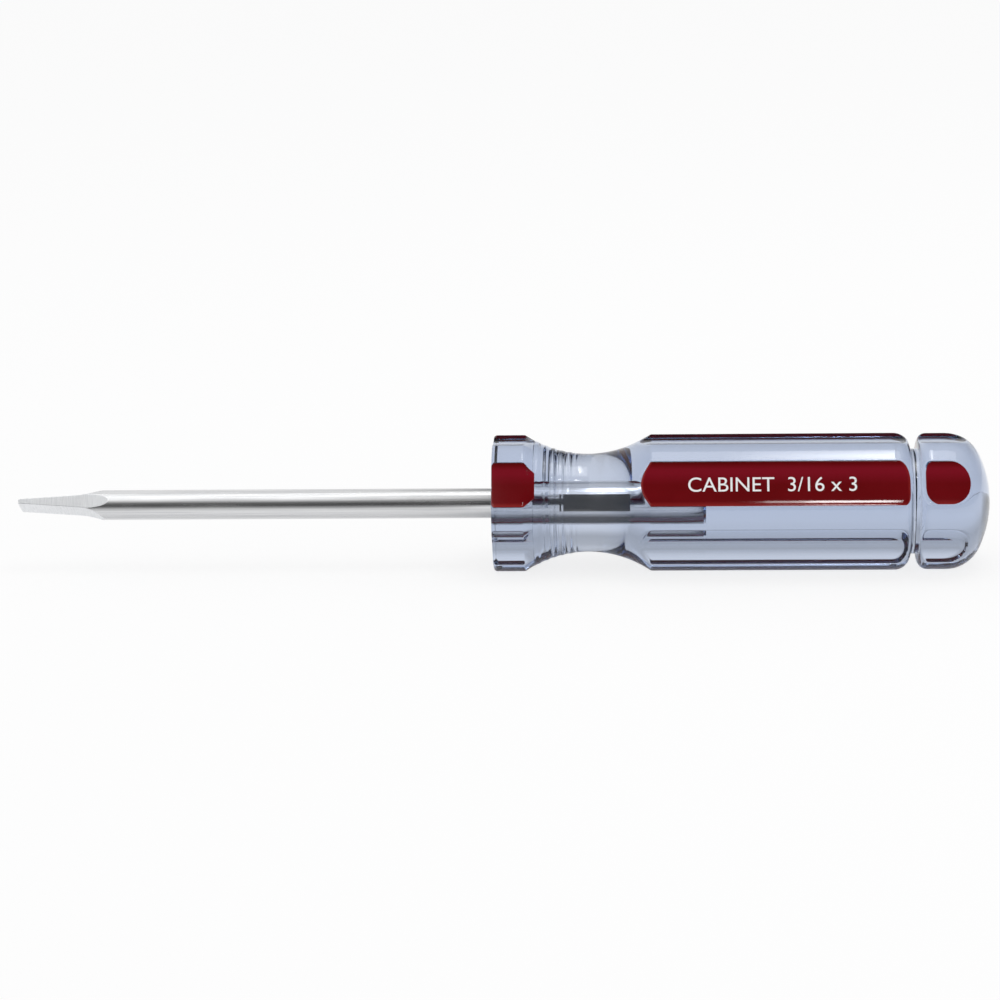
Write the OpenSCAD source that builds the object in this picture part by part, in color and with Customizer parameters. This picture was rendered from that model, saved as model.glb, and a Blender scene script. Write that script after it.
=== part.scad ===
// Cabinet screwdriver: a round steel blade pressed into a clear fluted handle,
// with lacquer laid in every other flute.
// The tool lies on its side: +X runs from the tip to the butt, +Z is up,
// and the origin is the middle of the footprint on the surface it lies on.

/* [Blade] */
// Diameter of the round bar, 3/16 in
shank_d = 4.76; // [4:0.02:6]
// Length of blade standing out of the handle, 3 in
blade_len = 76.2; // [50:0.1:120]
// Length of bar held inside the handle
embed_len = 34; // [28:0.5:45]
// Thickness across the ground faces at the tip
tip_t = 0.75; // [0.5:0.05:1.5]
// Taper of each ground face to the axis, in degrees
face_taper = 4; // [2:0.5:6]
// Length of the flat of each ground face
face_len = 9.6; // [7:0.1:14]
// Radius of the wheel's edge, in which each face runs out
face_wheel_r = 9; // [6:0.5:14]
// Metal ground off each side of the tip, so that it clears its own slot
side_grind = 0.35; // [0.1:0.05:0.5]
// Length of the flat of each ground side
side_len = 10.4; // [7:0.1:14]
// Radius of the wheel in which each side runs out
side_wheel_r = 25; // [10:1:40]
// Turn of the blade's width above the horizontal, on the side nearest the viewer
blade_turn = 34; // [0:1:90]

/* [Wings] */
// Start of the anti-turn wings behind the handle's front face
wing_start = 10.8; // [6:0.1:14]
// Length of the wings
wing_len = 12; // [6:0.1:14]
// Thickness of the wings
wing_t = 2.2; // [1:0.05:2.8]
// How far each wing stands out of the bar
wing_out = 1.1; // [0.5:0.05:2]
// Turn of the wings above the horizontal
wing_turn = 14; // [0:1:90]

/* [Handle] */
// Turned diameter of the collar and the grip
body_d = 21.9; // [20:0.1:26]
// Length of the collar
collar_len = 5.2; // [4:0.1:8]
// Bevel on the collar's front edge
front_bevel = 0.5; // [0.2:0.05:1]
// Length of the taper behind the collar
taper_len = 1.6; // [1:0.1:1.9]
// Fall of the taper's radius over its length, to a small step down into the waist
taper_fall = 1; // [0.6:0.05:1.1]
// Diameter of the waist
neck_d = 15.65; // [13:0.05:17]
// Length of the waist from the collar to the grip
neck_len = 20.1; // [16:0.1:26]
// Length of the grip
grip_len = 40.4; // [30:0.1:60]
// Rounding of the grip's rear edge
grip_edge_r = 2.1; // [1:0.1:2.5]
// Width of the groove between the grip and the cap
groove_w = 1.75; // [0.8:0.05:3]
// Diameter at the bottom of the groove
groove_d = 16.7; // [14:0.1:17.4]
// Step from the grip's diameter down to the cap's
cap_step = 0.4; // [0:0.05:1]
// Length of the cap with its dome
cap_len = 11.45; // [10:0.05:16]
// Rounding of the cap's front edge
cap_edge_r = 1.5; // [0.5:0.1:2]
// Length of the dome on the cap
dome_len = 7.1; // [6.6:0.05:8]
// Radius of the dome's shoulder
shoulder_r = 6; // [4:0.1:6.4]

/* [Rings] */
// Number of raised rings turned on the waist
ring_count = 5; // [1:1:5]
// Distance from the handle's front face to the first ring
ring_start = 7.5; // [7.2:0.1:8]
// Distance from ring to ring
ring_pitch = 1.25; // [1.1:0.05:1.6]
// Radius of a ring's round crest
ring_r = 0.45; // [0.3:0.05:0.5]
// Height of a ring above the waist
ring_h = 0.16; // [0.08:0.01:0.25]

/* [Flutes] */
// Radius of a flute's hollow
flute_r = 15.4; // [12:0.1:20]
// Depth of a flute below the turned diameter
flute_depth = 1.1; // [0.8:0.05:1.3]

/* [Lacquer] */
// Thickness of the lacquer in a flute
lacquer_t = 0.1; // [0.05:0.01:0.2]
// Clearance between the lacquer and the flute's floor
lacquer_gap = 0.03; // [0.02:0.01:0.08]
// Bare margin between the lacquer and the flute's rim
lacquer_margin = 0.4; // [0.35:0.05:0.8]

/* [Hidden] */
$fn = 192;
// Room by which a cut passes the end of what it cuts
overrun = 1;
// Turn about the tool's own axis from one flute to the next
flute_step = 60;
// Turn from one lacquered flute to the next
stripe_step = 120;

// Radii
shank_r = shank_d / 2;
body_r = body_d / 2;
neck_r = neck_d / 2;
groove_r = groove_d / 2;
cap_r = (body_d - cap_step) / 2;

// Stations along the handle, from its front face
neck_z = collar_len;
taper_z = collar_len + taper_len;
neck_mid_z = neck_z + neck_len / 2;
grip_z = neck_z + neck_len;
groove_z = grip_z + grip_len;
cap_z = groove_z + groove_w;
handle_len = cap_z + cap_len;
dome_z = handle_len - dome_len;

// The waist is one arc that meets the collar and the grip at their full radius
neck_depth = body_r - neck_r;
neck_arc_r = (pow(neck_len / 2, 2) + pow(neck_depth, 2)) / (2 * neck_depth);

// The crown of the dome is an arc on the axis that runs smoothly into the shoulder
shoulder_off = cap_r - shoulder_r;
crown_r = (pow(dome_len, 2) - pow(shoulder_r, 2) + pow(shoulder_off, 2)) / (2 * (dome_len - shoulder_r));
crown_z = handle_len - crown_r;
crown_join_z = crown_z + crown_r * (dome_z - crown_z) / (crown_r - shoulder_r);
// The dome's core reaches up into the crown, so that the two are one solid
core_z = crown_z + sqrt(pow(crown_r, 2) - pow(shoulder_off, 2));

// Flutes: distance of the hollow's centre from the axis, and the rims that it leaves
flute_off = body_r - flute_depth + flute_r;
rim_cos = (pow(body_r, 2) + pow(flute_off, 2) - pow(flute_r, 2)) / (2 * body_r * flute_off);
rim_half_w = body_r * sqrt(1 - pow(rim_cos, 2));
stripe_w = 2 * (rim_half_w - lacquer_margin);

// The tool lies on the two rims of its lowest flute
axis_h = body_r * rim_cos;
front_x = blade_len - (blade_len + handle_len) / 2;

// Radius of the waist at a station along the handle
function waist_r(z) = neck_r + neck_arc_r - sqrt(pow(neck_arc_r, 2) - pow(z - neck_mid_z, 2));

// Lays a shape that was made along +Z from the handle's front face along +X, at its place
module along_tool() {
    translate([front_x, 0, axis_h])
        rotate([0, 90, 0])
            children();
}

// Turns a shape about the tool's axis: its +X side then faces the viewer,
// raised by the given angle above the horizontal
module facing(rise) {
    rotate([0, 0, -90 - rise])
        children();
}

module collar_outline() {
    polygon([
        [0, 0],
        [body_r - front_bevel, 0],
        [body_r, front_bevel],
        [body_r, collar_len],
        [body_r - taper_fall, taper_z],
        [0, taper_z]
    ]);
}

module waist_outline() {
    difference() {
        translate([0, neck_z])
            square([body_r, neck_len]);
        translate([neck_r + neck_arc_r, neck_mid_z])
            circle(neck_arc_r);
    }
}

module grip_outline() {
    translate([0, grip_z]) {
        square([body_r, grip_len - grip_edge_r]);
        square([body_r - grip_edge_r, grip_len]);
        translate([body_r - grip_edge_r, grip_len - grip_edge_r])
            circle(grip_edge_r);
    }
}

module groove_outline() {
    translate([0, groove_z])
        square([groove_r, groove_w]);
}

module cap_outline() {
    translate([0, cap_z + cap_edge_r])
        square([cap_r, dome_z - cap_z - cap_edge_r]);
    translate([0, cap_z])
        square([cap_r - cap_edge_r, dome_z - cap_z]);
    translate([cap_r - cap_edge_r, cap_z + cap_edge_r])
        circle(cap_edge_r);
    dome_outline();
}

module dome_outline() {
    translate([0, dome_z])
        square([shoulder_off, core_z - dome_z]);
    translate([shoulder_off, dome_z])
        intersection() {
            circle(shoulder_r);
            square([shoulder_r, crown_join_z - dome_z]);
        }
    intersection() {
        translate([0, crown_z])
            circle(crown_r);
        translate([0, crown_join_z])
            square([cap_r, dome_len]);
    }
}

// The whole handle as it leaves the lathe, before its flutes are cut
module turned_body() {
    rotate_extrude() {
        collar_outline();
        waist_outline();
        grip_outline();
        groove_outline();
        cap_outline();
    }
    for (i = [0 : ring_count - 1])
        let (z = ring_start + i * ring_pitch)
            rotate_extrude()
                translate([waist_r(z) - ring_r + ring_h, z])
                    circle(ring_r);
}

// One flute's hollow over a stretch of the handle, smaller by the given inset
module flute_hollow(z0, z1, inset = 0) {
    translate([flute_off, 0, z0])
        cylinder(r = flute_r - inset, h = z1 - z0);
}

// The bar and its wings inside the handle
module bar(z0) {
    translate([0, 0, z0])
        cylinder(r = shank_r, h = embed_len - z0);
    facing(wing_turn)
        translate([-shank_r - wing_out, -wing_t / 2, wing_start])
            cube([shank_d + 2 * wing_out, wing_t, wing_len]);
}

// What a grinding wheel takes off above the XZ plane: a flat from the tip along +Z,
// then the round in which the wheel leaves the metal
module ground_flat(flat_len, wheel_r) {
    translate([-shank_d, 0, -overrun])
        cube([2 * shank_d, shank_d, flat_len + overrun]);
    translate([-shank_d, wheel_r, flat_len])
        rotate([0, 90, 0])
            cylinder(r = wheel_r, h = 2 * shank_d);
}

module face_cut() {
    translate([0, tip_t / 2, -blade_len])
        rotate([-face_taper, 0, 0])
            ground_flat(face_len, face_wheel_r);
}

module side_cut() {
    translate([shank_r - side_grind, 0, -blade_len])
        rotate([0, 0, -90])
            ground_flat(side_len, side_wheel_r);
}

// Lacquer laid on the floor of one flute, between two stations
module stripe(z0, z1, turn) {
    along_tool()
        rotate([0, 0, turn])
            intersection() {
                turned_body();
                difference() {
                    flute_hollow(z0, z1, lacquer_gap);
                    flute_hollow(z0 - overrun, z1 + overrun, lacquer_gap + lacquer_t);
                }
                translate([0, -stripe_w / 2, z0])
                    cube([flute_off, stripe_w, z1 - z0]);
            }
}

module handle() {
    color([0.7, 0.75, 0.84, 0.5])
        along_tool()
            difference() {
                turned_body();
                for (turn = [0 : flute_step : 360 - flute_step])
                    rotate([0, 0, turn])
                        flute_hollow(-overrun, handle_len + overrun);
                bar(-overrun);
            }
}

module blade() {
    color("silver")
        along_tool()
            difference() {
                bar(-blade_len);
                facing(blade_turn) {
                    for (flip = [0, 180])
                        rotate([0, 0, flip]) {
                            face_cut();
                            side_cut();
                        }
                }
            }
}

module collar_stripe(i) {
    color("darkred")
        stripe(0, taper_z, i * stripe_step);
}

module grip_stripe(i) {
    color("darkred")
        stripe(neck_mid_z, groove_z + groove_w / 2, i * stripe_step);
}

module cap_stripe(i) {
    color("darkred")
        stripe(groove_z + groove_w / 2, handle_len, i * stripe_step);
}

handle();
blade();
collar_stripe(0);  // collar_stripe_1
collar_stripe(1);  // collar_stripe_2
collar_stripe(2);  // collar_stripe_3
grip_stripe(0);  // grip_stripe_1
grip_stripe(1);  // grip_stripe_2
grip_stripe(2);  // grip_stripe_3
cap_stripe(0);  // cap_stripe_1
cap_stripe(1);  // cap_stripe_2
cap_stripe(2);  // cap_stripe_3
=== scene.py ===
import bmesh
import bpy
import math
from mathutils import Matrix, Vector
from mathutils.bvhtree import BVHTree


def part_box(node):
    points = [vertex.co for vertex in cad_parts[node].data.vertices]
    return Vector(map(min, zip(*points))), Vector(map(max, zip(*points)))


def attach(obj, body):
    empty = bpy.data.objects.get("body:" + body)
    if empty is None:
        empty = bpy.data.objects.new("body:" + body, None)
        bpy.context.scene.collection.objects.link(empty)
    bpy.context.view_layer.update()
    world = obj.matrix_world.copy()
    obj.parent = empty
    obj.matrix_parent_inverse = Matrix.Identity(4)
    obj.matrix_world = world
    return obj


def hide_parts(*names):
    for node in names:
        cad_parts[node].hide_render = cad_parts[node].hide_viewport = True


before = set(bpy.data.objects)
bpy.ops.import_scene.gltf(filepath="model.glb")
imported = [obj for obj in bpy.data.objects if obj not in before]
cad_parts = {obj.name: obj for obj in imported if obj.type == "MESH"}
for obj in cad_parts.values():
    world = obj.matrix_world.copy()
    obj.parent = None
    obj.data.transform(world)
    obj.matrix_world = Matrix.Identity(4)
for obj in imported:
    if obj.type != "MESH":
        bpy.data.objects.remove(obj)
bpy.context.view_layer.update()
print("frame loaded:", ", ".join(sorted(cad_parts)))

mm = 0.001
handleLow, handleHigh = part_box("handle")
bladeLow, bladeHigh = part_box("blade")
frontX = handleLow.x  # flat front of the collar
axisZ = (handleLow.z + handleHigh.z) / 2
bodyRadius = (handleHigh.y - handleLow.y) / 2
handleLen = handleHigh.x - handleLow.x
tipX = bladeLow.x
bladeEndX = bladeHigh.x  # end of the bar inside the handle
fluteStep = math.radians(60)
firstFlute = math.radians(30)  # rise of the lacquered front flute above the viewer's horizontal


# Node helpers

leastStep, leastRadius = 2e-7, 1e-7  # smallest advance and radius of a turned run


def newTree(name, kind, inputs, outputs):
    tree = bpy.data.node_groups.new(name, kind)
    for label, socketType in inputs:
        tree.interface.new_socket(label, in_out="INPUT", socket_type=socketType)
    for label, socketType in outputs:
        tree.interface.new_socket(label, in_out="OUTPUT", socket_type=socketType)
    return tree, tree.nodes.new("NodeGroupInput"), tree.nodes.new("NodeGroupOutput")


def plug(tree, value, socket):
    if isinstance(value, bpy.types.NodeSocket):
        tree.links.new(value, socket)
    elif value is not None:
        socket.default_value = value


def calc(tree, operation, *values):
    node = tree.nodes.new("ShaderNodeMath")
    node.operation = operation
    for value, socket in zip(values, node.inputs):
        plug(tree, value, socket)
    return node.outputs[0]


def addNode(tree, kind, links=None, **settings):
    node = tree.nodes.new(kind)
    for key, value in settings.items():
        setattr(node, key, value)
    for label, value in (links or {}).items():
        plug(tree, value, node.inputs[label])
    return node


def runNodes(name, source, tree, values):
    # runs a node tree on a source object and keeps the result as a plain mesh object
    modifier = source.modifiers.new(name, "NODES")
    modifier.node_group = tree
    for item in tree.interface.items_tree:
        if item.in_out == "INPUT" and item.name in values:
            modifier[item.identifier] = values[item.name]
    depsgraph = bpy.context.evaluated_depsgraph_get()
    mesh = bpy.data.meshes.new_from_object(source.evaluated_get(depsgraph), depsgraph=depsgraph)
    mesh.name = name
    piece = bpy.data.objects.new(name, mesh)
    bpy.context.scene.collection.objects.link(piece)
    bpy.data.objects.remove(source)
    return piece


def stationCurve(name, runs):
    # straight runs along X whose point radius is the turned radius at each station
    curve = bpy.data.curves.new(name, "CURVE")
    curve.dimensions = "3D"
    for run in runs:
        spline = curve.splines.new("POLY")
        spline.points.add(len(run) - 1)
        reached = -1.0
        for point, (x, radius) in zip(spline.points, run):
            reached = max(x, reached + leastStep)  # a hair forward on upright steps, so that the run never stands still
            point.co = (reached, 0, 0, 1)
            point.radius = max(radius, leastRadius)
    source = bpy.data.objects.new(name, curve)
    bpy.context.scene.collection.objects.link(source)
    return source


def sweepStations(tree, pins):
    # a round swept along the stations, with its points' place and distance from the axis
    circle = addNode(tree, "GeometryNodeCurvePrimitiveCircle", {"Resolution": pins["Points Around"], "Radius": 1.0})
    swept = addNode(tree, "GeometryNodeCurveToMesh",
                    {"Curve": pins["Stations"], "Profile Curve": circle.outputs["Curve"],
                     "Scale": addNode(tree, "GeometryNodeInputRadius").outputs["Radius"]})
    where = addNode(tree, "ShaderNodeSeparateXYZ", {0: addNode(tree, "GeometryNodeInputPosition").outputs[0]})
    x, y, z = where.outputs
    radius = calc(tree, "SQRT", calc(tree, "ADD", calc(tree, "MULTIPLY", y, y), calc(tree, "MULTIPLY", z, z)))
    return swept.outputs["Mesh"], x, y, z, radius


def mergeAndSmooth(tree, geometry, distance):
    merged = addNode(tree, "GeometryNodeMergeByDistance", {"Geometry": geometry, "Distance": distance})
    smooth = addNode(tree, "GeometryNodeSetShadeSmooth", {"Geometry": merged.outputs["Geometry"]})
    return smooth.outputs["Geometry"]


def layAndPaint(tree, pins, geometry, result):
    laid = addNode(tree, "GeometryNodeTransform", {"Geometry": geometry, "Translation": pins["Place"]})
    real = addNode(tree, "GeometryNodeRealizeInstances", {"Geometry": laid.outputs["Geometry"]})
    painted = addNode(tree, "GeometryNodeSetMaterial",
                      {"Geometry": real.outputs["Geometry"], "Material": pins["Material"]})
    tree.links.new(painted.outputs["Geometry"], result.inputs["Mesh"])


# Shared finishes

finishSizes = dict(lineDetail=3.0, markEdge=0.04, smudgeDetail=4.0, smudgeRange=(0.34, 0.66))


def blend(tree, first, second, share):
    return calc(tree, "MULTIPLY_ADD", calc(tree, "SUBTRACT", second, first), share, first)


def mixColor(tree, first, second, share):
    node = addNode(tree, "ShaderNodeMix", data_type="RGBA")
    for value, socket in zip((share, first, second), (node.inputs[0], node.inputs[6], node.inputs[7])):
        plug(tree, value, socket)
    return node.outputs[2]


def rangeOf(tree, value, low, high, first=0.0, last=1.0):
    node = addNode(tree, "ShaderNodeMapRange", {"Value": value, "From Min": low, "From Max": high,
                                                "To Min": first, "To Max": last})
    return node.outputs["Result"]


def fineLinesGroup(s):
    # streaks along one direction: Lines is their height, Marks only the deepest of them
    tree, given, result = newTree(
        "fineLines", "ShaderNodeTree",
        [("Per Metre", "NodeSocketVector"), ("Cover", "NodeSocketFloat")],
        [("Lines", "NodeSocketFloat"), ("Marks", "NodeSocketFloat")])
    coords = addNode(tree, "ShaderNodeTexCoord")
    drawn = addNode(tree, "ShaderNodeVectorMath", {0: coords.outputs["Object"], 1: given.outputs["Per Metre"]},
                    operation="MULTIPLY")
    noise = addNode(tree, "ShaderNodeTexNoise", {"Vector": drawn.outputs[0], "Scale": 1.0, "Detail": s["lineDetail"]})
    tree.links.new(noise.outputs["Fac"], result.inputs["Lines"])
    deep = rangeOf(tree, noise.outputs["Fac"], given.outputs["Cover"],
                   calc(tree, "ADD", given.outputs["Cover"], s["markEdge"]))
    tree.links.new(deep, result.inputs["Marks"])
    return tree


def smudgeGroup(s):
    # broad soft patches left by handling and polishing
    tree, given, result = newTree(
        "handlingSmudges", "ShaderNodeTree",
        [("Per Metre", "NodeSocketFloat"), ("Low", "NodeSocketFloat"), ("High", "NodeSocketFloat")],
        [("Roughness", "NodeSocketFloat"), ("Cloud", "NodeSocketFloat")])
    coords = addNode(tree, "ShaderNodeTexCoord")
    noise = addNode(tree, "ShaderNodeTexNoise", {"Vector": coords.outputs["Object"],
                                                 "Scale": given.outputs["Per Metre"], "Detail": s["smudgeDetail"]})
    cloud = rangeOf(tree, noise.outputs["Fac"], *s["smudgeRange"])
    tree.links.new(cloud, result.inputs["Cloud"])
    tree.links.new(blend(tree, given.outputs["Low"], given.outputs["High"], cloud), result.inputs["Roughness"])
    return tree


fineLines = fineLinesGroup(finishSizes)
smudges = smudgeGroup(finishSizes)


def handledBy(tree, perMetre, roughness):
    values = {"Per Metre": perMetre, "Low": roughness[0], "High": roughness[1]}
    return addNode(tree, "ShaderNodeGroup", values, node_tree=smudges).outputs


def linesBy(tree, perMetre, cover):
    return addNode(tree, "ShaderNodeGroup", {"Per Metre": perMetre, "Cover": cover}, node_tree=fineLines).outputs


def attributeOf(tree, name):
    return addNode(tree, "ShaderNodeAttribute", attribute_name=name).outputs["Fac"]


def bumpFrom(tree, bsdf, height, strength, distance):
    bump = addNode(tree, "ShaderNodeBump", {"Height": height, "Strength": strength, "Distance": distance})
    tree.links.new(bump.outputs["Normal"], bsdf.inputs["Normal"])


# Materials

def newMaterial(name):
    material = bpy.data.materials.new(name)
    material.use_nodes = True
    nodes = material.node_tree.nodes
    return material, material.node_tree, nodes["Principled BSDF"], nodes["Material Output"].inputs


acetateLook = dict(
    tint=(0.5, 0.6, 0.78, 1), density=72.0, ior=1.48, smudgeSize=90.0, polish=(0.004, 0.02),
    polishLines=(260, 2400, 2400), scratchCover=0.7, scratchRough=0.05, bump=0.3, lineDepth=0.004 * mm,
)
# the edges are shares of the film's half width, from its middle to a rim
lacquerLook = dict(
    deep=(0.118, 0.0012, 0.0026, 1), mottled=(0.138, 0.0019, 0.0042, 1), paintedSheen=(0.19, 0.0043, 0.0126, 1),
    rimSheen=(0.26, 0.02, 0.018, 1), shaded=(0.05, 0.0004, 0.001, 1),
    # bedded and dry are painted light: lit copies of the red for the side seen through the acetate
    bedded=(0.42, 0.022, 0.045, 1), dry=(0.64, 0.38, 0.44, 1),
    lightRise=(0.0, 0.45), lightFall=(0.62, 0.84), shadeEdge=(0.86, 1.0), rimSheenEdge=(0.72, 1.0),
    rimSheenStreaks=(0.3, 0.6), rimSheenLeast=0.55, smudgeSize=140.0, gloss=(0.14, 0.24), shine=0.0, coat=1.0, coatRough=0.05,
    brushLines=(60, 1300, 1300), scratchCover=0.72, scratchRough=0.1, bump=0.4, peelDepth=0.003 * mm,
)
steelLook = dict(
    plateDark=(0.66, 0.665, 0.68, 1), plateLight=(0.78, 0.785, 0.79, 1),
    groundDark=(0.82, 0.835, 0.85, 1), groundLight=(0.92, 0.93, 0.945, 1),
    drawLines=(55, 4200, 4200), grindLines=(7000, 420, 420), lineRange=(0.35, 0.62), scratchCover=0.66,
    smudgeSize=120.0, plateRough=(0.15, 0.22), scratchRough=0.08, groundRough=0.4, grindRough=0.2,
    bump=0.35, lineDepth=0.004 * mm,
)
printLook = dict(
    ink=(0.82, 0.82, 0.82, 1), worn=(0.6, 0.5, 0.5, 1), smudgeSize=900.0, gloss=(0.3, 0.5),
    speckle=(3500, 3500, 3500), speckleCover=0.66, bump=0.4, inkDepth=0.004 * mm,
)


def acetateMaterial(look):
    material, tree, bsdf, ends = newMaterial("polishedAcetate")
    bsdf.inputs["Base Color"].default_value = (1, 1, 1, 1)
    bsdf.inputs["Transmission Weight"].default_value = 1
    bsdf.inputs["IOR"].default_value = look["ior"]
    handled = handledBy(tree, look["smudgeSize"], look["polish"])
    drawn = linesBy(tree, look["polishLines"], look["scratchCover"])
    tree.links.new(calc(tree, "MULTIPLY_ADD", drawn["Marks"], look["scratchRough"], handled["Roughness"]),
                   bsdf.inputs["Roughness"])
    bumpFrom(tree, bsdf, drawn["Lines"], look["bump"], look["lineDepth"])
    depth = addNode(tree, "ShaderNodeVolumeAbsorption", {"Color": look["tint"], "Density": look["density"]})
    tree.links.new(depth.outputs[0], ends["Volume"])
    return material


def lacquerMaterial(look):
    material, tree, bsdf, _ = newMaterial("redLacquer")
    handled = handledBy(tree, look["smudgeSize"], look["gloss"])
    brushed = linesBy(tree, look["brushLines"], look["scratchCover"])
    rim, crest = attributeOf(tree, "rim"), attributeOf(tree, "crest")
    body = mixColor(tree, look["deep"], look["mottled"], handled["Cloud"])
    # painted sheen: a lighter band across the upper half of each film's outer side, rising and falling with the crest
    upper = calc(tree, "MULTIPLY", rangeOf(tree, crest, *look["lightRise"]),
                 rangeOf(tree, crest, *look["lightFall"], 1.0, 0.0))
    paintedSheen = mixColor(tree, body, look["paintedSheen"], upper)
    shaded = mixColor(tree, paintedSheen, look["shaded"], rangeOf(tree, crest, *look["shadeEdge"]))
    # painted sheen along the lower rim and both ends of each film, streaked along the brush lines
    rimSheenMask = calc(tree, "MULTIPLY", rangeOf(tree, rim, *look["rimSheenEdge"]),
                rangeOf(tree, brushed["Lines"], *look["rimSheenStreaks"], look["rimSheenLeast"], 1.0))
    outside = mixColor(tree, shaded, look["rimSheen"], rimSheenMask)
    # painted light: the side facing the acetate gets a lighter copy of the red, and a pale one where the film is lifted
    inside = mixColor(tree, look["bedded"], look["dry"], attributeOf(tree, "lifted"))
    bedded = attributeOf(tree, "bedded")
    tree.links.new(mixColor(tree, outside, inside, bedded), bsdf.inputs["Base Color"])
    tree.links.new(calc(tree, "MULTIPLY_ADD", brushed["Marks"], look["scratchRough"], handled["Roughness"]),
                   bsdf.inputs["Roughness"])
    tree.links.new(rangeOf(tree, bedded, 0.0, 1.0, look["coat"], 0.0), bsdf.inputs["Coat Weight"])
    bsdf.inputs["Specular IOR Level"].default_value = look["shine"]
    bsdf.inputs["Coat Roughness"].default_value = look["coatRough"]
    bumpFrom(tree, bsdf, brushed["Lines"], look["bump"], look["peelDepth"])
    return material


def steelMaterial(look):
    material, tree, bsdf, _ = newMaterial("platedSteel")
    handled = handledBy(tree, look["smudgeSize"], look["plateRough"])
    drawn = linesBy(tree, look["drawLines"], look["scratchCover"])
    milled = linesBy(tree, look["grindLines"], look["scratchCover"])
    ground = attributeOf(tree, "ground")
    plate = mixColor(tree, look["plateDark"], look["plateLight"], rangeOf(tree, drawn["Lines"], *look["lineRange"]))
    bare = mixColor(tree, look["groundDark"], look["groundLight"], rangeOf(tree, milled["Lines"], *look["lineRange"]))
    tree.links.new(mixColor(tree, plate, bare, ground), bsdf.inputs["Base Color"])
    plateRough = calc(tree, "MULTIPLY_ADD", drawn["Marks"], look["scratchRough"], handled["Roughness"])
    bareRough = calc(tree, "MULTIPLY_ADD", milled["Lines"], look["grindRough"], look["groundRough"])
    tree.links.new(blend(tree, plateRough, bareRough, ground), bsdf.inputs["Roughness"])
    bsdf.inputs["Metallic"].default_value = 1
    bumpFrom(tree, bsdf, blend(tree, drawn["Lines"], milled["Lines"], ground), look["bump"], look["lineDepth"])
    return material


def printMaterial(look):
    material, tree, bsdf, _ = newMaterial("whitePrint")
    handled = handledBy(tree, look["smudgeSize"], look["gloss"])
    pores = linesBy(tree, look["speckle"], look["speckleCover"])
    tree.links.new(mixColor(tree, look["ink"], look["worn"], pores["Marks"]), bsdf.inputs["Base Color"])
    tree.links.new(handled["Roughness"], bsdf.inputs["Roughness"])
    bumpFrom(tree, bsdf, pores["Lines"], look["bump"], look["inkDepth"])
    return material


acetate = acetateMaterial(acetateLook)
lacquer = lacquerMaterial(lacquerLook)
steel = steelMaterial(steelLook)
whitePrint = printMaterial(printLook)
print("materials ready")


# Handle: a turned outline swept round the axis, then hollowed by six flutes

handleSizes = dict(
    frontBack=0.28 * mm, collarLen=5.2 * mm, frontBevel=0.3 * mm, taperLen=1.6 * mm, taperFall=1.0 * mm,
    neckRadius=7.825 * mm, neckLen=20.1 * mm, gripLen=40.95 * mm, gripEdge=2.5 * mm,
    grooveWidth=1.2 * mm, grooveRadius=8.35 * mm,
    capStep=0.08 * mm, capEdge=1.5 * mm, domeLen=7.1 * mm, shoulder=6.0 * mm,
    ringCount=5, ringStart=7.5 * mm, ringPitch=1.25 * mm, ringHalf=0.5 * mm, ringHeight=0.075 * mm,
    fluteRadius=15.4 * mm, fluteDepth=1.1 * mm, rimRound=0.14 * mm, rimBand=math.radians(3.0),
    bore=2.36 * mm, boreFloor=0.02 * mm, edgeRound=0.18 * mm, faceRings=(0.45, 0.68, 0.83),
    around=360, fluteShare=0.5, rimShare=0.82, mergeNear=2e-6,
    boreSteps=5, collarSteps=7, ringSteps=84, waistSteps=38, gripSteps=26, gripEdgeSteps=13, grooveSteps=4,
    capEdgeSteps=10, capSteps=6, shoulderSteps=16, crownSteps=14,
)


boreGrow, borePast = 1.0001, 1e-5  # how far past the bore's radius and depth a point still counts as in it


def spread(first, last, count):
    return [first + (last - first) * i / (count - 1) for i in range(count)]


def arcRun(centre, radius, startDeg, endDeg, count):
    return [(centre[0] + radius * math.cos(math.radians(a)), centre[1] + radius * math.sin(math.radians(a)))
            for a in spread(startDeg, endDeg, count)]


def easedCorner(before, corner, after, size, count=5):
    # replaces a sharp corner by a short curve that is tangent to both sides
    before, corner, after = Vector(before), Vector(corner), Vector(after)
    start = corner + (before - corner).normalized() * size
    end = corner + (after - corner).normalized() * size
    curve = []
    for t in spread(0, 1, count):
        curve.append(tuple(start * (1 - t) ** 2 + corner * (2 * t * (1 - t)) + end * t * t))
    return curve


def waistRadius(x, s):
    depth = bodyRadius - s["neckRadius"]
    arc = ((s["neckLen"] / 2) ** 2 + depth ** 2) / (2 * depth)
    middle = s["collarLen"] + s["neckLen"] / 2
    radius = s["neckRadius"] + arc - math.sqrt(arc ** 2 - (x - middle) ** 2)
    for i in range(s["ringCount"]):
        off = abs(x - s["ringStart"] - i * s["ringPitch"]) / s["ringHalf"]
        if off < 1:
            radius += s["ringHeight"] * (1 + math.cos(math.pi * off)) / 2
    return radius


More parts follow.
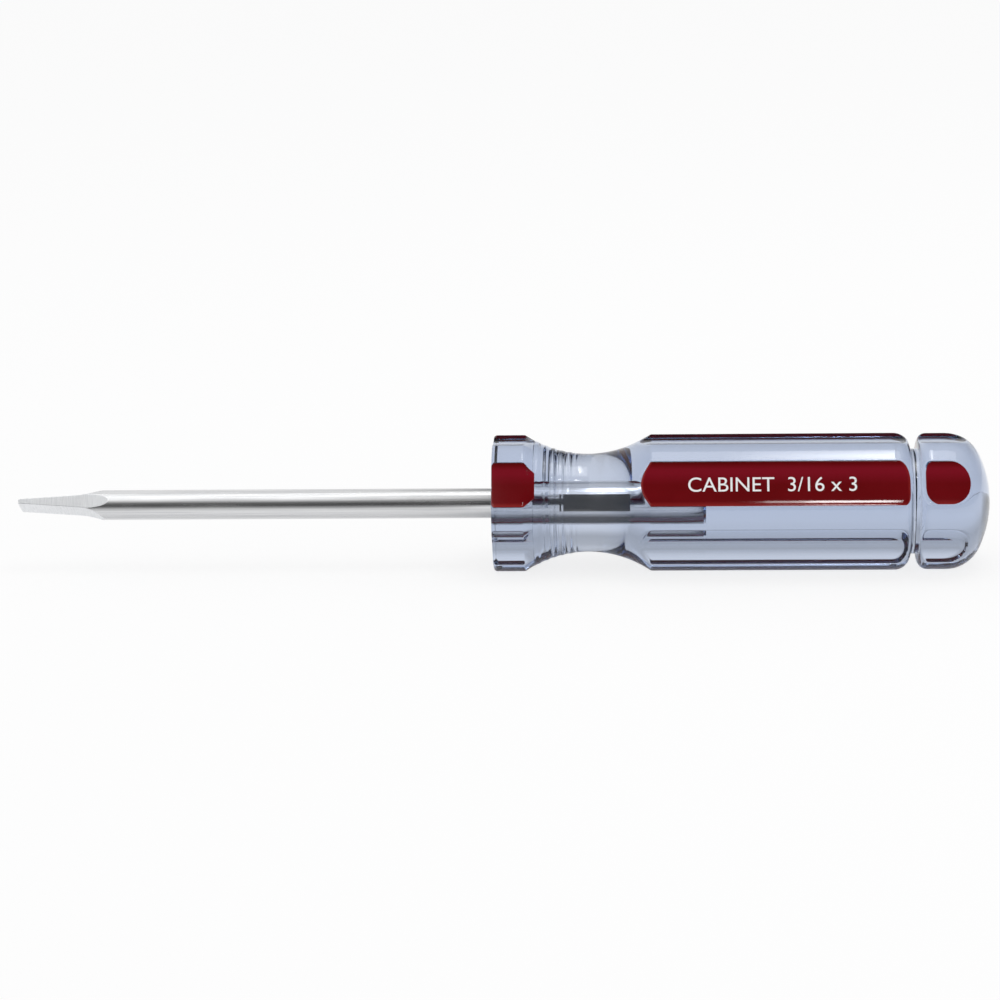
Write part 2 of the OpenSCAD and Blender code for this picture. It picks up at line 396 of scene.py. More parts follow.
def turnedOutline(s):
    # stations (x, radius) from the bore's mouth over the collar, waist, grip and cap to the butt
    r, ease = bodyRadius, s["edgeRound"]
    front, collarEnd = s["frontBack"], s["collarLen"]
    bevel = front + s["frontBevel"]
    lip = r - s["frontBevel"]
    gripStart = collarEnd + s["neckLen"]
    gripEnd = gripStart + s["gripLen"]
    capStart = gripEnd + s["grooveWidth"]
    capRadius = r - s["capStep"]
    domeStart = handleLen - s["domeLen"]
    shoulder = s["shoulder"]
    shoulderOff = capRadius - shoulder
    crown = (s["domeLen"] ** 2 - shoulder ** 2 + shoulderOff ** 2) / (2 * (s["domeLen"] - shoulder))
    crownX = handleLen - crown
    joinDeg = math.degrees(math.atan2(shoulderOff, domeStart - crownX))
    near = 2 * ease

    run = [(front, s["bore"])] + [(front, r * share) for share in s["faceRings"]]
    run += easedCorner((front, 0), (front, lip), (bevel, r), ease / 2)
    run += easedCorner((front, lip), (bevel, r), (collarEnd, r), ease)
    run += [(x, r) for x in spread(bevel + near, collarEnd - near, s["collarSteps"])]
    taperEnd, taperRadius = collarEnd + s["taperLen"], r - s["taperFall"]
    run += easedCorner((bevel, r), (collarEnd, r), (taperEnd, taperRadius), ease)
    run += easedCorner((collarEnd, r), (taperEnd, taperRadius), (taperEnd, 0), ease / 2)
    ringsEnd = s["ringStart"] + (s["ringCount"] - 1) * s["ringPitch"] + s["ringHalf"]
    waist = spread(taperEnd, ringsEnd, s["ringSteps"]) + spread(ringsEnd, gripStart - near, s["waistSteps"])[1:]
    run += [(x, waistRadius(x, s)) for x in waist]
    run += easedCorner(run[-1], (gripStart, r), (gripEnd, r), ease)
    run += [(x, r) for x in spread(gripStart + near, gripEnd - s["gripEdge"] - near, s["gripSteps"])]
    run += arcRun((gripEnd - s["gripEdge"], r - s["gripEdge"]), s["gripEdge"], 90, 0, s["gripEdgeSteps"])
    floor, steps = s["grooveRadius"], s["grooveSteps"]
    run += easedCorner((gripEnd, r), (gripEnd, floor), (capStart, floor), ease, steps)
    run += easedCorner((gripEnd, floor), (capStart, floor), (capStart, r), ease, steps)
    run += arcRun((capStart + s["capEdge"], capRadius - s["capEdge"]), s["capEdge"], 180, 90, s["capEdgeSteps"])
    run += [(x, capRadius) for x in spread(capStart + s["capEdge"] + near, domeStart - near, s["capSteps"])]
    run += arcRun((domeStart, shoulderOff), shoulder, 90, joinDeg, s["shoulderSteps"])
    run += arcRun((crownX, 0), crown, joinDeg, 0, s["crownSteps"])[1:]
    return run


def flutedTree():
    tree, given, result = newTree(
        "flutedHandle", "GeometryNodeTree",
        [("Stations", "NodeSocketGeometry"), ("Points Around", "NodeSocketInt"),
         ("Flute Radius", "NodeSocketFloat"), ("Flute Centre", "NodeSocketFloat"),
         ("Flute Step", "NodeSocketFloat"), ("First Flute", "NodeSocketFloat"),
         ("Rim Turn", "NodeSocketFloat"), ("Rim Band", "NodeSocketFloat"), ("Rim Rounding", "NodeSocketFloat"),
         ("Flute Share", "NodeSocketFloat"), ("Rim Share", "NodeSocketFloat"),
         ("Bore", "NodeSocketFloat"), ("Bore Depth", "NodeSocketFloat"), ("Merge Near", "NodeSocketFloat"),
         ("Place", "NodeSocketVector"), ("Material", "NodeSocketMaterial")],
        [("Mesh", "NodeSocketGeometry")])
    pins = given.outputs
    swept, x, y, z, radius = sweepStations(tree, pins)
    rise = calc(tree, "ARCTAN2", z, calc(tree, "MULTIPLY", y, -1.0))
    half = calc(tree, "MULTIPLY", pins["Flute Step"], 0.5)
    evenly = calc(tree, "WRAP", calc(tree, "SUBTRACT", rise, pins["First Flute"]),
                  half, calc(tree, "MULTIPLY", half, -1.0))
    # the even points are drawn towards the rims: share of them over the flute, over its rim, on the land
    share = calc(tree, "DIVIDE", calc(tree, "ABSOLUTE", evenly), half)
    rimStart = calc(tree, "MULTIPLY_ADD", pins["Rim Band"], -0.5, pins["Rim Turn"])
    rimEnd = calc(tree, "MULTIPLY_ADD", pins["Rim Band"], 0.5, pins["Rim Turn"])
    overFlute = rangeOf(tree, share, 0.0, pins["Flute Share"], 0.0, rimStart)
    overRim = rangeOf(tree, share, pins["Flute Share"], pins["Rim Share"], 0.0, pins["Rim Band"])
    onLand = rangeOf(tree, share, pins["Rim Share"], 1.0, 0.0, calc(tree, "SUBTRACT", half, rimEnd))
    crowded = calc(tree, "ADD", calc(tree, "ADD", overFlute, overRim), onLand)
    fromFlute = calc(tree, "MULTIPLY", crowded, calc(tree, "SIGN", evenly))
    newRise = calc(tree, "ADD", calc(tree, "SUBTRACT", rise, evenly), fromFlute)
    # distance from the axis to the flute's hollow along this direction
    across = calc(tree, "MULTIPLY", pins["Flute Centre"], calc(tree, "SINE", fromFlute))
    chord = calc(tree, "SUBTRACT", calc(tree, "MULTIPLY", pins["Flute Radius"], pins["Flute Radius"]),
                 calc(tree, "MULTIPLY", across, across))
    hollow = calc(tree, "SUBTRACT", calc(tree, "MULTIPLY", pins["Flute Centre"], calc(tree, "COSINE", fromFlute)),
                  calc(tree, "SQRT", calc(tree, "MAXIMUM", chord, 0.0)))
    cut = calc(tree, "SMOOTH_MIN", radius, hollow, pins["Rim Rounding"])
    outY = calc(tree, "MULTIPLY", calc(tree, "COSINE", newRise), calc(tree, "MULTIPLY", cut, -1.0))
    outZ = calc(tree, "MULTIPLY", calc(tree, "SINE", newRise), cut)
    place = addNode(tree, "ShaderNodeCombineXYZ", {"X": x, "Y": outY, "Z": outZ})
    moved = addNode(tree, "GeometryNodeSetPosition", {"Geometry": swept, "Position": place.outputs[0]})
    # the bore is a hole, so its faces are turned round
    inBore = calc(tree, "MULTIPLY", calc(tree, "LESS_THAN", radius, calc(tree, "MULTIPLY", pins["Bore"], boreGrow)),
                  calc(tree, "LESS_THAN", x, calc(tree, "ADD", pins["Bore Depth"], borePast)))
    turned = addNode(tree, "GeometryNodeFlipFaces", {"Mesh": moved.outputs["Geometry"], "Selection": inBore})
    layAndPaint(tree, pins, mergeAndSmooth(tree, turned.outputs["Mesh"], pins["Merge Near"]), result)
    return tree


def fluteCentre(s):
    return bodyRadius - s["fluteDepth"] + s["fluteRadius"]


def rimTurn(s, radius):
    # half the angle that a flute takes up on a round of this radius
    centre = fluteCentre(s)
    top = radius ** 2 + centre ** 2 - s["fluteRadius"] ** 2
    return math.acos(top / (2 * radius * centre))


def makeHandle(s):
    boreEnd = bladeEndX - frontX - s["boreFloor"]
    boreRun = [(x, s["bore"]) for x in spread(s["frontBack"], boreEnd, s["boreSteps"])] + [(boreEnd, 0)]
    source = stationCurve("handleStations", [turnedOutline(s), boreRun])
    return runNodes("fluted_handle", source, flutedTree(), {
        "Points Around": s["around"], "Flute Radius": s["fluteRadius"], "Flute Centre": fluteCentre(s),
        "Flute Step": fluteStep, "First Flute": firstFlute, "Rim Turn": rimTurn(s, bodyRadius),
        "Rim Band": s["rimBand"], "Rim Rounding": s["rimRound"], "Flute Share": s["fluteShare"],
        "Rim Share": s["rimShare"], "Bore": s["bore"], "Bore Depth": boreEnd, "Merge Near": s["mergeNear"],
        "Place": (frontX, 0, axisZ), "Material": acetate})


handle = makeHandle(handleSizes)
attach(handle, "root")
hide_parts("handle")
print("handle:", len(handle.data.vertices), "points,", len(handle.data.polygons), "faces")


# Lacquer: a thin film on the floor of every other flute, cut by the waist and the groove into three patches

lacquerSizes = dict(
    top=0.025 * mm, sunk=0.02 * mm, lifted=0.008 * mm, inset=0.05 * mm, rimStep=0.005 * mm, endGap=0.03 * mm,
    across=44, edgeCrowd=0.7, endCrowd=0.5, collarAlong=26, gripAlong=110, capAlong=40,
    collarReach=7.05 * mm, collarRim=5.4 * mm, collarFlat=0.62,
    gripBack=0.25 * mm, gripCorner=0.7 * mm, gripPower=8,
    capBack=0.6 * mm, capRun=(1.2 * mm, 0.4 * mm), capPower=(3, 4), endPower=8,
)
stripeRises = [270, 150, 30]  # order of the stripe numbers in the frame
wetDegrees = [(-90, -8), (-90, 10), (-6, 3)]  # stretch across its flute in which each film is wet to the acetate


def outlineSpan(s, low, high):
    return [(x, r) for x, r in turnedOutline(s) if low <= x <= high]


def crossing(span, radius, fromEnd):
    # station at which the outline first rises above a radius, seen from one end
    walk = list(reversed(span)) if fromEnd else span
    for (x0, r0), (x1, r1) in zip(walk, walk[1:]):
        if r0 <= radius < r1:
            return x0 + (x1 - x0) * (radius - r0) / (r1 - r0)
    return walk[0][0]


def hollowRadius(turn, s):
    centre = fluteCentre(s)
    return centre * math.cos(turn) - math.sqrt(s["fluteRadius"] ** 2 - (centre * math.sin(turn)) ** 2)


def outward(rise):
    return Vector((0, -math.cos(rise), math.sin(rise)))


def treeOf(piece):
    mesh = piece.data
    return BVHTree.FromPolygons([v.co for v in mesh.vertices], [p.vertices for p in mesh.polygons])


def meshPiece(name, points, faces, material):
    mesh = bpy.data.meshes.new(name)
    mesh.from_pydata(points, [], faces)
    mesh.materials.append(material)
    mesh.polygons.foreach_set("use_smooth", [True] * len(faces))
    piece = bpy.data.objects.new(name, mesh)
    bpy.context.scene.collection.objects.link(piece)
    return piece


def filmEnds(zone, share, deep, start, end, middleEnd, film):
    # where the brush stopped: share is -1 at the lower rim and 1 at the upper, deep is 1 on the flute's floor
    if zone == "collar":
        slope = max(abs(share) - film["collarFlat"], 0) / (1 - film["collarFlat"])
        return start, film["collarReach"] - (film["collarReach"] - film["collarRim"]) * slope
    if zone == "grip":
        square = middleEnd - film["gripCorner"] * abs(share) ** film["gripPower"]
        return start + film["gripBack"] * deep, max(end, square) if share < 0 else end
    upper = int(share >= 0)
    run = film["capRun"][upper] * abs(share) ** film["capPower"][upper]
    return start + film["capBack"] * deep + run, end


def markPoints(piece, name, values):
    piece.data.attributes.new(name, "FLOAT", "POINT").data.foreach_set("value", values)


def filmPatch(name, zone, rise, wet, span, along, s, film, surface):
    full = max(r for x, r in span)
    limit = rimTurn(s, full) - film["inset"] / full
    floor = hollowRadius(0, s)
    middleEnd = crossing(span, floor + film["rimStep"], True) - film["endGap"]
    columns, came = [], []
    for u in spread(-1, 1, film["across"]):
        turn = limit * math.sin(u * math.pi / 2 * film["edgeCrowd"]) / math.sin(math.pi / 2 * film["edgeCrowd"])
        edge = min(hollowRadius(turn, s) + film["rimStep"], full - film["rimStep"])
        deep = (full - edge) / (full - floor)  # 1 on the flute's floor, 0 at its rim
        start, end = filmEnds(zone, turn / limit, deep, crossing(span, edge, False) + film["endGap"],
                              crossing(span, edge, True) - film["endGap"], middleEnd, film)
        ray = outward(rise + turn)
        came.append(not wet[0] < math.degrees(turn) < wet[1])
        under = film["lifted"] if came[-1] else -film["sunk"]
        column = []
        for t in spread(0, 1, along):
            # stations draw a little closer towards both ends
            eased = t * t * (3 - 2 * t) * film["endCrowd"] + t * (1 - film["endCrowd"])
            x = frontX + start + (end - start) * eased
            hit = surface.ray_cast(Vector((x, 0, axisZ)) + ray * bodyRadius * 2, -ray)[0]
            column.append((hit + ray * film["top"], hit + ray * under))
        columns.append(column)
    points, faces = [], []
    across = len(columns)
    for side in (0, 1):
        for column in columns:
            points += [pair[side] for pair in column]
    shift = across * along
    for i in range(across - 1):
        for j in range(along - 1):
            a, b = i * along + j, (i + 1) * along + j
            faces.append((a, a + 1, b + 1, b))
            faces.append((shift + a, shift + b, shift + b + 1, shift + a + 1))
    rim = ([i * along for i in range(across)]
           + [(across - 1) * along + j for j in range(1, along)]
           + [i * along + along - 1 for i in range(across - 2, -1, -1)]
           + [j for j in range(along - 2, 0, -1)])
    for a, b in zip(rim, rim[1:] + rim[:1]):
        faces.append((a, b, shift + b, shift + a))
    piece = meshPiece(name, points, faces, lacquer)
    nearRim, crest = [], []  # 1 at the lower rim and the ends, and 1 at the upper rim
    for i in range(across):
        for j in range(along):
            share = 2 * i / (across - 1) - 1
            nearRim.append(max(-share, abs(2 * j / (along - 1) - 1) ** film["endPower"]))
            crest.append(max(share, 0))
    markPoints(piece, "rim", nearRim * 2)
    markPoints(piece, "crest", crest * 2)
    markPoints(piece, "bedded", [0.0] * shift + [1.0] * shift)  # 1 on the side that faces the acetate
    markPoints(piece, "lifted", [float(dry) for dry in came for j in range(along)] * 2)  # 1 where the film came off
    tidy = bmesh.new()
    tidy.from_mesh(piece.data)
    bmesh.ops.recalc_face_normals(tidy, faces=tidy.faces)
    tidy.to_mesh(piece.data)
    tidy.free()
    return piece


def makeLacquer(s, film):
    surface = treeOf(handle)
    gripStart = s["collarLen"] + s["neckLen"]
    gripEnd = gripStart + s["gripLen"]
    middle = s["collarLen"] + s["neckLen"] / 2
    groove = gripEnd + s["grooveWidth"] / 2
    zones = {"collar": (0, film["collarReach"], film["collarAlong"]), "grip": (middle, groove, film["gripAlong"]),
             "cap": (groove, handleLen, film["capAlong"])}
    for zone, (low, high, along) in zones.items():
        span = outlineSpan(s, low, high)
        for number, riseDeg in enumerate(stripeRises, 1):
            piece = filmPatch(f"{zone}_lacquer_{number}", zone, math.radians(riseDeg), wetDegrees[number - 1],
                              span, along, s, film, surface)
            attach(piece, "root")
            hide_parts(f"{zone}_stripe_{number}")


makeLacquer(handleSizes, lacquerSizes)
print("lacquer laid in", len(stripeRises), "flutes")


# Blade: a round bar with two ground faces and two ground sides at the tip, and wings in the handle

bladeSizes = dict(
    shank=2.38 * mm, tipThick=0.75 * mm, faceTaper=math.radians(4), faceLen=9.6 * mm, faceWheel=9.0 * mm,
    sideGrind=0.35 * mm, sideLen=10.4 * mm, sideWheel=25.0 * mm, groundLen=15.5 * mm,
    edgeRound=0.07 * mm, turn=math.radians(34), endRound=0.06 * mm, endMiddle=0.3, endRings=(0, 0.2, 0.5, 0.8),
    backBevel=0.4 * mm,
    wingStart=10.8 * mm, wingLen=12.0 * mm, wingThick=2.2 * mm, wingOut=1.1 * mm, wingTurn=math.radians(14),
    around=200, groundSteps=120, barSteps=24, mergeNear=1e-6,
)
leastTurn, leastBar, leastGrind = 0.001, 1e-9, 2e-6  # smallest sine or cosine, radius and cut that count


def bladeStations(s):
    length = bladeEndX - tipX
    bar, soft, bevel = s["shank"], s["endRound"], s["backBevel"]
    run = [(0, bar * share) for share in s["endRings"]]
    halfway = soft * s["endMiddle"]
    run += [(0, bar - soft), (halfway, bar - halfway), (soft, bar)]
    run += [(x, bar) for x in spread(soft, s["groundLen"], s["groundSteps"])[1:]]
    run += [(x, bar) for x in spread(s["groundLen"], length - bevel, s["barSteps"])[1:]]
    run += [(length, bar - bevel), (length, 0)]
    return run


def underWheel(tree, wheel, along):
    # height of a wheel's centre above its rim at a distance along the blade
    left = calc(tree, "SUBTRACT", calc(tree, "MULTIPLY", wheel, wheel), calc(tree, "MULTIPLY", along, along))
    return calc(tree, "SQRT", calc(tree, "MAXIMUM", left, 0.0))


def bladeTree():
    tree, given, result = newTree(
        "groundBlade", "GeometryNodeTree",
        [("Stations", "NodeSocketGeometry"), ("Points Around", "NodeSocketInt"), ("Turn", "NodeSocketFloat"),
         ("Bar Radius", "NodeSocketFloat"), ("Half Tip", "NodeSocketFloat"), ("Face Taper", "NodeSocketFloat"),
         ("Face Length", "NodeSocketFloat"), ("Face Wheel", "NodeSocketFloat"), ("Side Grind", "NodeSocketFloat"),
         ("Side Length", "NodeSocketFloat"), ("Side Wheel", "NodeSocketFloat"),
         ("Edge Rounding", "NodeSocketFloat"), ("Merge Near", "NodeSocketFloat"),
         ("Wing Size", "NodeSocketVector"), ("Wing Place", "NodeSocketVector"), ("Wing Turn", "NodeSocketVector"),
         ("Place", "NodeSocketVector"), ("Material", "NodeSocketMaterial")],
        [("Mesh", "NodeSocketGeometry")])
    pins = given.outputs
    swept, x, y, z, radius = sweepStations(tree, pins)
    rise = calc(tree, "SUBTRACT", calc(tree, "ARCTAN2", z, calc(tree, "MULTIPLY", y, -1.0)), pins["Turn"])
    wide = calc(tree, "MAXIMUM", calc(tree, "ABSOLUTE", calc(tree, "COSINE", rise)), leastTurn)
    deep = calc(tree, "MAXIMUM", calc(tree, "ABSOLUTE", calc(tree, "SINE", rise)), leastTurn)
    # each grind is a flat that runs out over the round of its wheel
    tilt = pins["Face Taper"]
    flatEnd = calc(tree, "MULTIPLY", pins["Face Length"], calc(tree, "COSINE", tilt))
    flatRise = calc(tree, "MULTIPLY_ADD", pins["Face Length"], calc(tree, "SINE", tilt), pins["Half Tip"])
    flat = calc(tree, "MULTIPLY_ADD", calc(tree, "MINIMUM", x, flatEnd), calc(tree, "TANGENT", tilt), pins["Half Tip"])
    wheelTop = calc(tree, "MULTIPLY_ADD", pins["Face Wheel"], calc(tree, "COSINE", tilt), flatRise)
    wheelTurn = calc(tree, "MULTIPLY", pins["Face Wheel"], calc(tree, "SINE", tilt))
    onWheel = calc(tree, "ADD", calc(tree, "MAXIMUM", calc(tree, "SUBTRACT", x, flatEnd), 0.0), wheelTurn)
    curved = calc(tree, "SUBTRACT", wheelTop, underWheel(tree, pins["Face Wheel"], onWheel))
    face = calc(tree, "ADD", flat, calc(tree, "SUBTRACT", curved, flatRise))
    past = calc(tree, "MAXIMUM", calc(tree, "SUBTRACT", x, pins["Side Length"]), 0.0)
    runOut = calc(tree, "SUBTRACT", pins["Side Wheel"], underWheel(tree, pins["Side Wheel"], past))
    side = calc(tree, "ADD", calc(tree, "SUBTRACT", pins["Bar Radius"], pins["Side Grind"]), runOut)
    ground = calc(tree, "SMOOTH_MIN", calc(tree, "DIVIDE", face, deep), calc(tree, "DIVIDE", side, wide),
                  pins["Edge Rounding"])
    cut = calc(tree, "MINIMUM", radius, ground)
    grow = calc(tree, "DIVIDE", cut, calc(tree, "MAXIMUM", radius, leastBar))
    place = addNode(tree, "ShaderNodeCombineXYZ",
                    {"X": x, "Y": calc(tree, "MULTIPLY", y, grow), "Z": calc(tree, "MULTIPLY", z, grow)})
    worn = calc(tree, "GREATER_THAN", calc(tree, "SUBTRACT", radius, cut), leastGrind)  # where a wheel took metal off
    marked = addNode(tree, "GeometryNodeStoreNamedAttribute", {"Geometry": swept, "Name": "ground", "Value": worn},
                     data_type="FLOAT", domain="POINT")
    moved = addNode(tree, "GeometryNodeSetPosition",
                    {"Geometry": marked.outputs["Geometry"], "Position": place.outputs[0]})
    wings = addNode(tree, "GeometryNodeMeshCube", {"Size": pins["Wing Size"]})
    seated = addNode(tree, "GeometryNodeTransform", {"Geometry": wings.outputs["Mesh"],
                                                     "Translation": pins["Wing Place"], "Rotation": pins["Wing Turn"]})
    joined = addNode(tree, "GeometryNodeJoinGeometry")
    tree.links.new(mergeAndSmooth(tree, moved.outputs["Geometry"], pins["Merge Near"]), joined.inputs[0])
    tree.links.new(seated.outputs["Geometry"], joined.inputs[0])
    layAndPaint(tree, pins, joined.outputs["Geometry"], result)
    return tree


def makeBlade(s):
    source = stationCurve("bladeStations", [bladeStations(s)])
    wingMiddle = frontX + s["wingStart"] + s["wingLen"] / 2 - tipX
    return runNodes("plated_blade", source, bladeTree(), {
        "Points Around": s["around"], "Turn": s["turn"], "Bar Radius": s["shank"], "Half Tip": s["tipThick"] / 2,
        "Face Taper": s["faceTaper"], "Face Length": s["faceLen"], "Face Wheel": s["faceWheel"],
        "Side Grind": s["sideGrind"], "Side Length": s["sideLen"], "Side Wheel": s["sideWheel"],
        "Edge Rounding": s["edgeRound"], "Merge Near": s["mergeNear"],
        "Wing Size": (s["wingLen"], 2 * (s["shank"] + s["wingOut"]), s["wingThick"]),
        "Wing Place": (wingMiddle, 0, 0), "Wing Turn": (-s["wingTurn"], 0, 0),
        "Place": (tipX, 0, axisZ), "Material": steel})


blade = makeBlade(bladeSizes)
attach(blade, "root")
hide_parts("blade")
print("blade:", len(blade.data.vertices), "points")


# Size figures: flat print that follows the hollow of the front flute

figureSizes = dict(words="CABINET  3/16 x 3", height=2.35 * mm, length=26.3 * mm, middle=44.3 * mm,
                   thick=0.012 * mm, lift=0.024 * mm, slices=9, curveSteps=6)


def makeFigures(s, flute):
    curve = bpy.data.curves.new("figures", "FONT")
    curve.body = s["words"]
    curve.resolution_u = s["curveSteps"]
    source = bpy.data.objects.new("figures", curve)
    bpy.context.scene.collection.objects.link(source)
    depsgraph = bpy.context.evaluated_depsgraph_get()
    mesh = bpy.data.meshes.new_from_object(source.evaluated_get(depsgraph), depsgraph=depsgraph)
    mesh.name = "size_figures"
    bpy.data.objects.remove(source)
    drawn = bmesh.new()
    drawn.from_mesh(mesh)
    low = Vector([min(v.co[k] for v in drawn.verts) for k in range(3)])
    high = Vector([max(v.co[k] for v in drawn.verts) for k in range(3)])
    for cutY in spread(low.y, high.y, s["slices"])[1:-1]:
        bmesh.ops.bisect_plane(drawn, geom=drawn.verts[:] + drawn.edges[:] + drawn.faces[:],
                               plane_co=(0, cutY, 0), plane_no=(0, 1, 0))
    bmesh.ops.triangulate(drawn, faces=drawn.faces[:])
    top = bmesh.ops.extrude_face_region(drawn, geom=drawn.faces[:])["geom"]
    raised = {item for item in top if isinstance(item, bmesh.types.BMVert)}
    outOf, around = outward(firstFlute), Vector((0, math.sin(firstFlute), math.cos(firstFlute)))
    for v in drawn.verts:
        x = ((v.co.x - low.x) / (high.x - low.x) - 0.5) * s["length"]
        turn = ((v.co.y - low.y) / (high.y - low.y) - 0.5) * s["height"] / flute["fluteRadius"]
        reach = flute["fluteRadius"] - s["lift"] - (s["thick"] if v in raised else 0)
        v.co = (Vector((frontX + s["middle"] + x, 0, axisZ)) + outOf * (fluteCentre(flute) - reach * math.cos(turn))
                + around * (reach * math.sin(turn)))
    bmesh.ops.recalc_face_normals(drawn, faces=drawn.faces)
    # the extrusion lists its items in no fixed order, so they are put in order of their place
    for items, placeOf in ((drawn.verts, lambda v: v.co[:]),
                           (drawn.edges, lambda e: (e.verts[0].co + e.verts[1].co)[:]),
                           (drawn.faces, lambda f: f.calc_center_median()[:])):
        for index, item in enumerate(sorted(items, key=placeOf)):
            item.index = index
        items.sort()
    drawn.to_mesh(mesh)
    drawn.free()
    mesh.materials.clear()
    mesh.materials.append(whitePrint)
    piece = bpy.data.objects.new("size_figures", mesh)
    bpy.context.scene.collection.objects.link(piece)
    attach(piece, "root")
    print("size figures:", len(mesh.polygons), "faces")


makeFigures(figureSizes, handleSizes)


# Stage: pale floor, a surround that is banded for shiny and clear pieces, a softbox above and two strips in front

stageLook = dict(
    floorSize=6.0, floorColor=(0.93, 0.93, 0.935, 1), floorRough=0.9, whiteShare=0.8, mirrorShare=0.15, ambient=0.85,
    floorEdge=(0.12, 0.4), underEdge=(0.004, 0.009), underShade=0.7,
    farEdge=(0.012, 0.06), farShade=0.7, bladeEdge=(-0.012, -0.004),
    sideEdge=(0.5, 0.8), sideLevel=0.2, flagEdge=(-0.062, -0.054),
    glowEdge=(0.02, 0.078), glowStop=(0.082, 0.087), glow=12.0,
)
# brightness round the tool: degrees up from the viewer's side, level
bladeSky = [(0, 0.1), (13, 0.1), (21, 0.12), (29, 0.26), (37, 0.52), (45, 0.85), (54, 1.25), (70, 1.42), (86, 1.4),
            (102, 1.1), (118, 0.92), (180, 0.92)]  # mirrored by the blade
handleSky = [(0, 0.05), (74, 0.06), (82, 1.2), (86, 1.4), (102, 1.1), (116, 0.85), (126, 0.3), (130, 0.04),
             (155, 0.04), (162, 0.5), (172, 0.8), (180, 0.8)]  # mirrored by the handle
clearSky = [(0, 0.08), (41.5, 0.1), (43.5, 1.2), (46, 1.2), (50, 0.2), (60, 0.7), (70, 1.3), (86, 1.4), (102, 1.1),
            (118, 0.92), (142, 0.8), (148, 0.66), (164, 0.58), (168, 0.7), (171, 0.84), (174, 0.92),
            (180, 0.92)]  # seen through the handle
glowSky = [(0, 0), (84, 0), (91, 1), (96, 1), (112, 0), (180, 0)]  # soft glow along the rear of the grip
lampSizes = {
    "topSoftbox": dict(place=(0.15, 0.03, 0.6), aim=(0.15, 0.03, 0.0), size=(0.3, 0.3), power=0.6),
    "frontStrip": dict(place=(0.0853, -0.2335, 0.5625), aim=(0.0853, 0.0, 0.01), size=(0.0474, 0.026), power=0.0296),
    "frontStripEnd": dict(place=(0.0915, -0.2315, 0.5575), aim=(0.0915, 0.0, 0.01), size=(0.031, 0.026), power=0.037),
}


def makeFloor(look):
    material, tree, bsdf, ends = newMaterial("paleFloor")
    bsdf.inputs["Roughness"].default_value = look["floorRough"]
    bsdf.inputs["Specular IOR Level"].default_value = 0.0
    path = addNode(tree, "ShaderNodeLightPath")
    through = path.outputs["Is Transmission Ray"]
    mirrored = calc(tree, "MAXIMUM", path.outputs["Is Glossy Ray"], through)
    onlyMirrored = calc(tree, "MAXIMUM", 0.0, calc(tree, "SUBTRACT", path.outputs["Is Glossy Ray"], through))
    spot = addNode(tree, "ShaderNodeSeparateXYZ", {0: addNode(tree, "ShaderNodeTexCoord").outputs["Object"]})
    sideways = calc(tree, "ABSOLUTE", spot.outputs["X"])
    away = calc(tree, "ABSOLUTE", spot.outputs["Y"])
    # the strip that the tool lies on is seen in its own shade through the clear handle
    under = calc(tree, "MULTIPLY", rangeOf(tree, away, *look["underEdge"], look["underShade"], 0.0), through)
    # the blade mirrors a floor that grows dim away from the tool
    far = calc(tree, "MULTIPLY", rangeOf(tree, away, *look["farEdge"], 0.0, look["farShade"]),
               rangeOf(tree, spot.outputs["X"], *look["bladeEdge"], 1.0, 0.0))
    shade = calc(tree, "MAXIMUM", under, calc(tree, "MULTIPLY", far, onlyMirrored))
    tree.links.new(mixColor(tree, look["floorColor"], (0, 0, 0, 1), shade), bsdf.inputs["Base Color"])
    beside = rangeOf(tree, sideways, *look["floorEdge"])
    lit = calc(tree, "MULTIPLY", calc(tree, "SUBTRACT", 1.0, calc(tree, "MULTIPLY", beside, mirrored)),
               calc(tree, "SUBTRACT", 1.0, shade))
    white = addNode(tree, "ShaderNodeEmission", {"Color": (1, 1, 1, 1), "Strength": lit})
    share = calc(tree, "MAXIMUM", calc(tree, "MULTIPLY", path.outputs["Is Camera Ray"], look["whiteShare"]),
                 calc(tree, "MULTIPLY", mirrored, look["mirrorShare"]))
    both = addNode(tree, "ShaderNodeMixShader", {0: share, 1: bsdf.outputs[0], 2: white.outputs[0]})
    tree.links.new(both.outputs[0], ends["Surface"])
    half = look["floorSize"] / 2
    floor = meshPiece("pale_floor", [(-half, -half, 0), (half, -half, 0), (half, half, 0), (-half, half, 0)],
                      [(0, 1, 2, 3)], material)


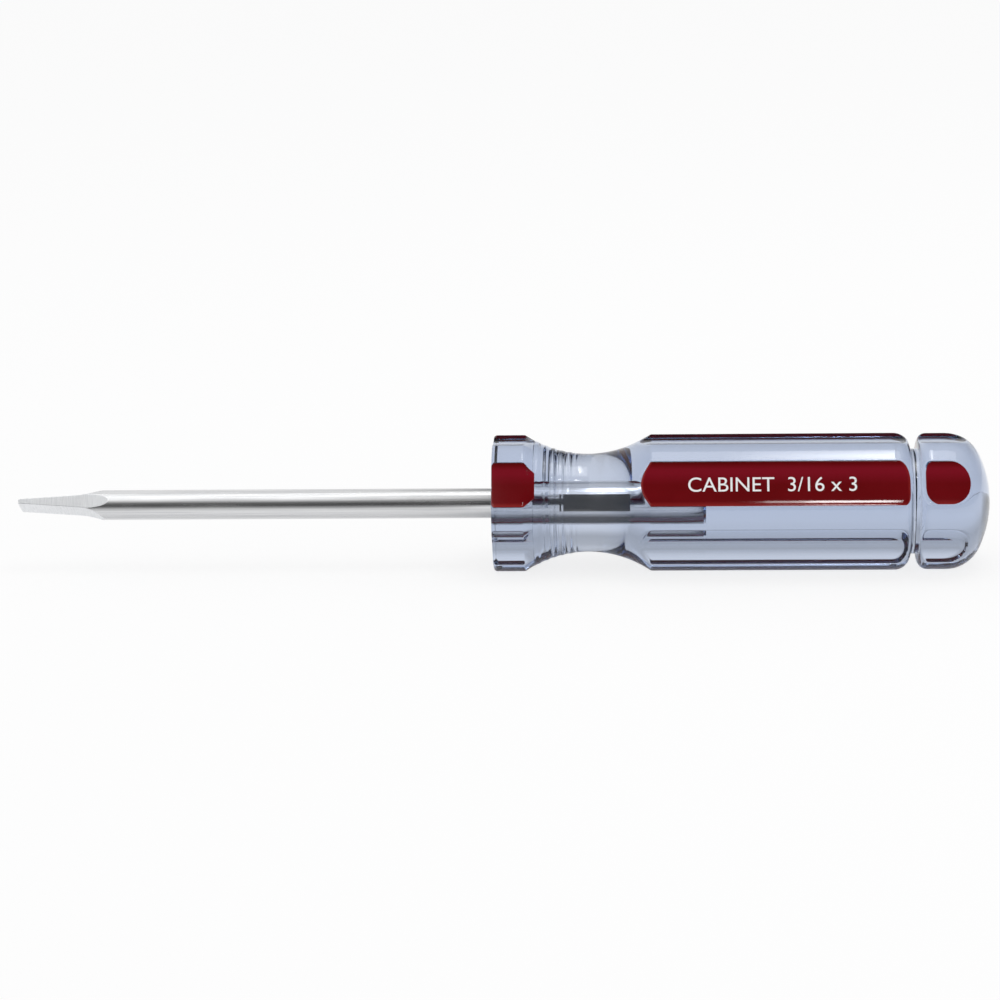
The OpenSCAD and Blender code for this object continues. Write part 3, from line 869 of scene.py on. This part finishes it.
def makeSurround(look, *skies):
    world = bpy.data.worlds.new("softStudio")
    bpy.context.scene.world = world
    world.use_nodes = True
    tree = world.node_tree
    background = tree.nodes["Background"]
    background.inputs["Color"].default_value = (1, 1, 1, 1)
    path = addNode(tree, "ShaderNodeLightPath")
    toward = addNode(tree, "ShaderNodeSeparateXYZ", {0: addNode(tree, "ShaderNodeTexCoord").outputs["Generated"]})
    up = calc(tree, "ARCTAN2", toward.outputs["Z"], calc(tree, "MULTIPLY", toward.outputs["Y"], -1.0))
    ramps = []
    for levels in skies:
        ramp = addNode(tree, "ShaderNodeValToRGB", {"Fac": calc(tree, "DIVIDE", up, math.pi)})
        stops = ramp.color_ramp.elements  # starts with one stop at each end
        for degrees, _ in levels[1:-1]:
            stops.new(degrees / 180)
        for stop, (_, level) in zip(sorted(stops, key=lambda item: item.position), levels):
            stop.color = (level, level, level, 1)
        ramps.append(ramp.outputs["Color"])
    overBlade, overHandle, clear, glow = ramps
    sideways = toward.outputs["X"]
    around = blend(tree, overBlade, overHandle, rangeOf(tree, sideways, *look["flagEdge"]))
    glowing = calc(tree, "MULTIPLY", rangeOf(tree, sideways, *look["glowEdge"], 0.0, look["glow"]),
                   rangeOf(tree, sideways, *look["glowStop"], 1.0, 0.0))
    around = calc(tree, "MULTIPLY_ADD", glow, glowing, around)
    beside = rangeOf(tree, calc(tree, "ABSOLUTE", sideways), *look["sideEdge"], 1.0, look["sideLevel"])
    through = path.outputs["Is Transmission Ray"]
    mirrored = calc(tree, "MAXIMUM", path.outputs["Is Glossy Ray"], through)
    studio = calc(tree, "MULTIPLY", blend(tree, around, clear, through), beside)
    level = blend(tree, look["ambient"], studio, mirrored)
    tree.links.new(blend(tree, level, 1.0, path.outputs["Is Camera Ray"]), background.inputs["Strength"])


def makeLamp(name, s):
    data = bpy.data.lights.new(name, "AREA")
    data.shape = "RECTANGLE"
    data.size, data.size_y = s["size"]
    data.energy = s["power"]
    lamp = bpy.data.objects.new(name, data)
    bpy.context.scene.collection.objects.link(lamp)
    lamp.location = s["place"]
    lamp.rotation_euler = (Vector(s["aim"]) - Vector(s["place"])).to_track_quat("-Z", "Y").to_euler()


makeFloor(stageLook)
makeSurround(stageLook, bladeSky, handleSky, clearSky, glowSky)
for lampName, lampSize in lampSizes.items():
    makeLamp(lampName, lampSize)
print("stage set")


# Camera

cameraSizes = dict(pastFront=1.19 * mm, aboveAxis=0.51 * mm, yaw=3.0, rise=13.97, roll=-1.025,
                   distance=500 * mm, lens=112.57, sensor=36, clip=(0.01, 20))


def makeCamera(s):
    data = bpy.data.cameras.new("photoCamera")
    data.sensor_width = s["sensor"]
    data.lens = s["lens"]
    data.clip_start, data.clip_end = s["clip"]
    camera = bpy.data.objects.new("photoCamera", data)
    bpy.context.scene.collection.objects.link(camera)
    yaw, rise = math.radians(s["yaw"]), math.radians(s["rise"])
    back = Vector((math.sin(yaw) * math.cos(rise), -math.cos(yaw) * math.cos(rise), math.sin(rise)))
    aim = Vector((frontX + s["pastFront"], 0, axisZ + s["aboveAxis"]))
    camera.location = aim + back * s["distance"]
    turn = (-back).to_track_quat("-Z", "Y").to_matrix().to_4x4()
    camera.rotation_euler = (turn @ Matrix.Rotation(math.radians(s["roll"]), 4, "Z")).to_euler()
    bpy.context.scene.camera = camera


makeCamera(cameraSizes)
bpy.context.scene.view_settings.view_transform = "Standard"
print("camera set")
